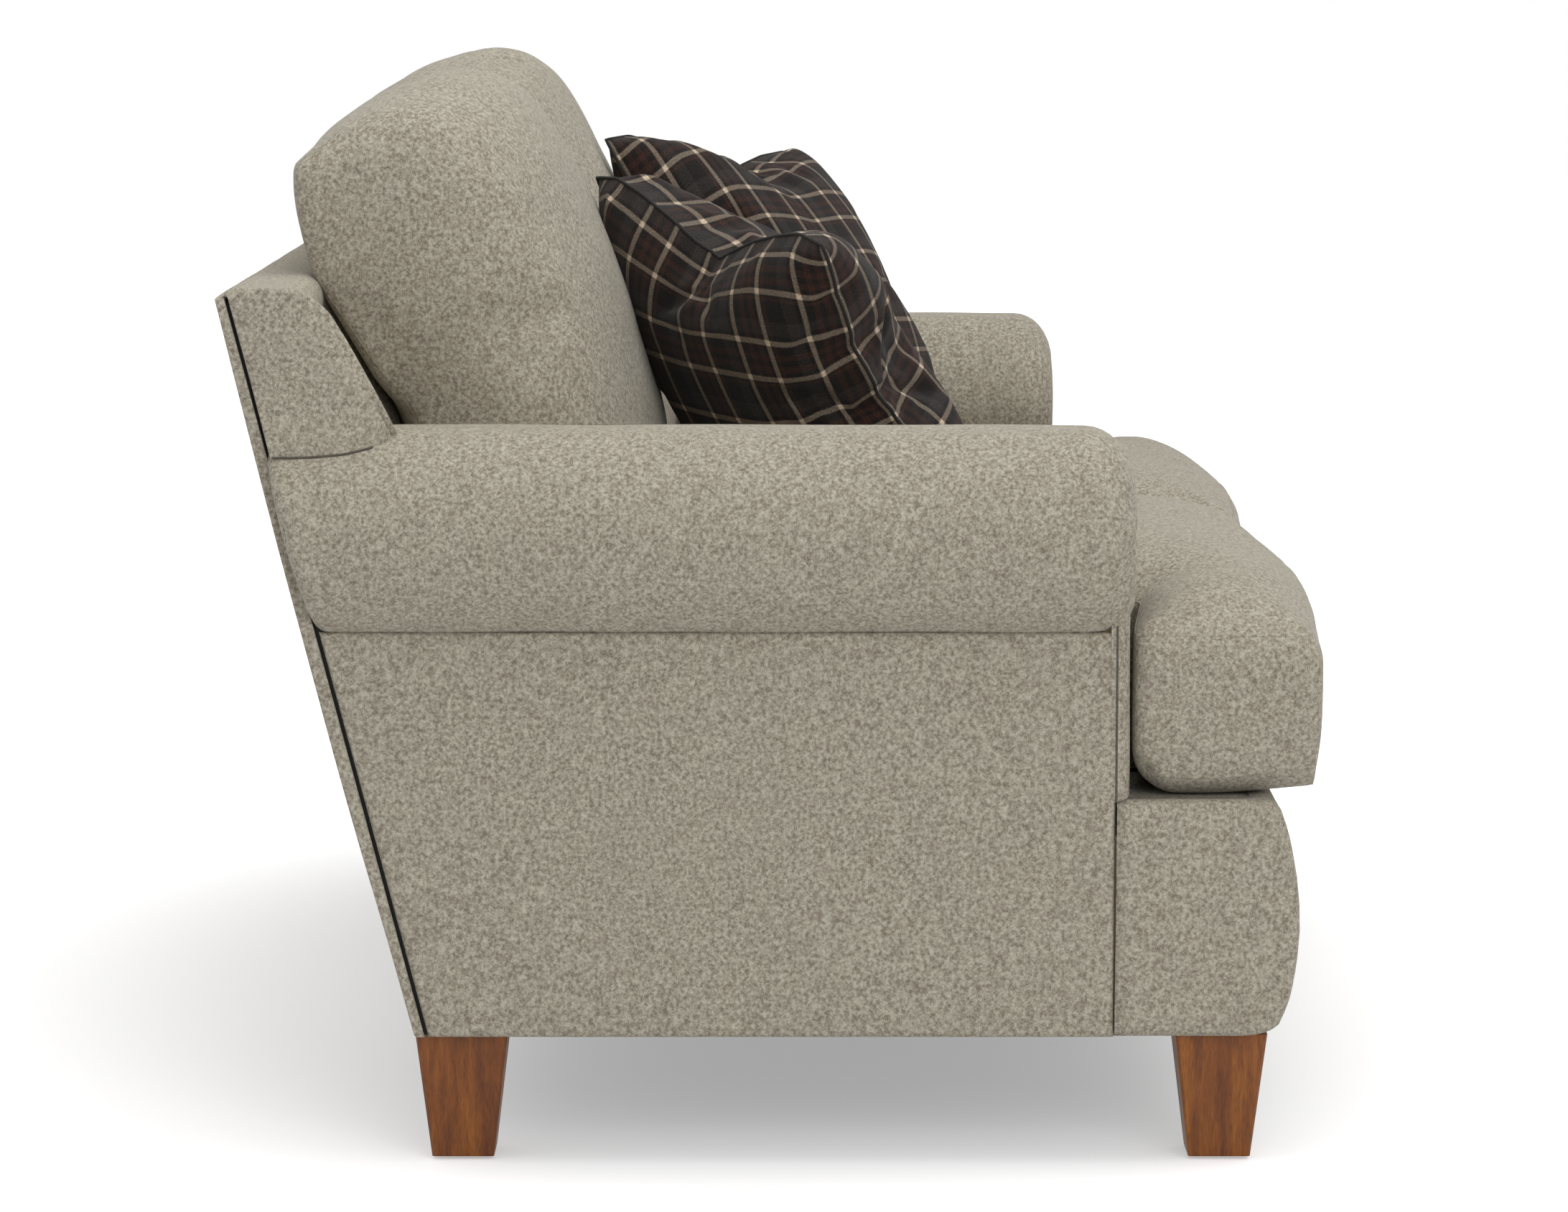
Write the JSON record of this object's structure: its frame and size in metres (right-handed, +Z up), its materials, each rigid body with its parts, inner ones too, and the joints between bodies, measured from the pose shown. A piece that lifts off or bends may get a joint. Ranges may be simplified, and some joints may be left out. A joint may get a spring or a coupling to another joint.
{
  "type": "sofa",
  "caption": "Upholstered sofa with rolled arms, T-shaped seat cushions, loose back cushions, plaid throw pillows and tapered wooden legs.",
  "frame": {"origin": "on the floor, under the middle of the bounding box", "axes": "+X along the sofa towards its left arm as seen by someone sitting in it, -Y the way the sofa faces, +Z up"},
  "size_m": [1.676, 0.976, 0.9401],
  "materials": {
    "seat_fabric": "woven tweed, warm grey with light and dark flecks",
    "pillow_plaid": "brushed woven plaid in charcoal, rust and beige",
    "leg_wood": "walnut stain under a satin lacquer",
    "frame_wood": "bare kiln-dried hardwood",
    "plain_steel": "zinc plated",
    "spring_steel": "oiled dark spring wire",
    "glide_plastic": "moulded dark plastic",
    "under_cloth": "black spun-bonded dust cloth",
    "burlap_cloth": "coarse jute weave",
    "web_cloth": "woven elastic webbing",
    "wadding": "white polyester wadding",
    "foam": "pale yellow open-cell foam"
  },
  "bodies": {
    "sofa_frame": {"arm_cover_left": "seat_fabric", "arm_cover_right": "seat_fabric", "outside_arm_left": "seat_fabric", "outside_arm_right": "seat_fabric", "inside_arm_left": "seat_fabric", "inside_arm_right": "seat_fabric", "arm_front_panel_left": "seat_fabric", "arm_front_panel_right": "seat_fabric", "wing_panel_left": "seat_fabric", "wing_panel_right": "seat_fabric", "inside_back_cover": "seat_fabric", "outside_back": "seat_fabric", "deck_cloth": "seat_fabric", "front_border": "seat_fabric", "leg_front_left": "leg_wood", "leg_front_right": "leg_wood", "leg_rear_left": "leg_wood", "leg_rear_right": "leg_wood", "front_rail": "frame_wood", "rear_rail": "frame_wood", "center_stretcher": "frame_wood", "ear_shelves": "frame_wood", "corner_blocks": "frame_wood", "back_center_post": "frame_wood", "back_top_rail": "frame_wood", "arm_top_boards": "frame_wood", "side_rail_left": "frame_wood", "side_rail_right": "frame_wood", "back_post_left": "frame_wood", "back_post_right": "frame_wood", "arm_front_board_left": "frame_wood", "arm_front_board_right": "frame_wood", "arm_rear_board_left": "frame_wood", "arm_rear_board_right": "frame_wood", "leg_bolts": "plain_steel", "leg_plates": "plain_steel", "spring_clips": "plain_steel", "seat_springs": "spring_steel", "spring_ties": "spring_steel", "leg_glides": "glide_plastic", "dust_cover": "under_cloth", "burlap_sheet": "burlap_cloth", "back_webbing": "web_cloth", "arm_pad_left": "wadding", "arm_pad_right": "wadding", "inside_back_pad": "wadding", "deck_pad": "foam"},
    "seat_cushion_left": {"seat_cushion_left": "seat_fabric", "seat_core_left": "foam"},
    "back_cushion_left": {"back_cushion_left": "seat_fabric", "back_core_left": "wadding"},
    "throw_pillow_left": {"throw_pillow_left": "pillow_plaid", "pillow_insert_left": "wadding"},
    "seat_cushion_right": {"seat_cushion_right": "seat_fabric", "seat_core_right": "foam"},
    "back_cushion_right": {"back_cushion_right": "seat_fabric", "back_core_right": "wadding"},
    "throw_pillow_right": {"throw_pillow_right": "pillow_plaid", "pillow_insert_right": "wadding"}
  },
  "joints": [
    {"name": "seat_cushion_left_slide", "type": "slide", "parent": "sofa_frame", "child": "seat_cushion_left", "axis": [0, -1, 0], "range_m": [0, 0.28]},
    {"name": "back_cushion_left_lift", "type": "slide", "parent": "sofa_frame", "child": "back_cushion_left", "axis": [0, 0.3907, 0.9205], "range_m": [0, 0.45]},
    {"name": "throw_pillow_left_lift", "type": "slide", "parent": "seat_cushion_left", "child": "throw_pillow_left", "axis": [0, 0, 1], "range_m": [0, 0.35]},
    {"name": "seat_cushion_right_slide", "type": "slide", "parent": "sofa_frame", "child": "seat_cushion_right", "axis": [0, -1, 0], "range_m": [0, 0.28]},
    {"name": "back_cushion_right_lift", "type": "slide", "parent": "sofa_frame", "child": "back_cushion_right", "axis": [0, 0.3907, 0.9205], "range_m": [0, 0.45]},
    {"name": "throw_pillow_right_lift", "type": "slide", "parent": "seat_cushion_right", "child": "throw_pillow_right", "axis": [0, 0, 1], "range_m": [0, 0.35]}
  ]
}
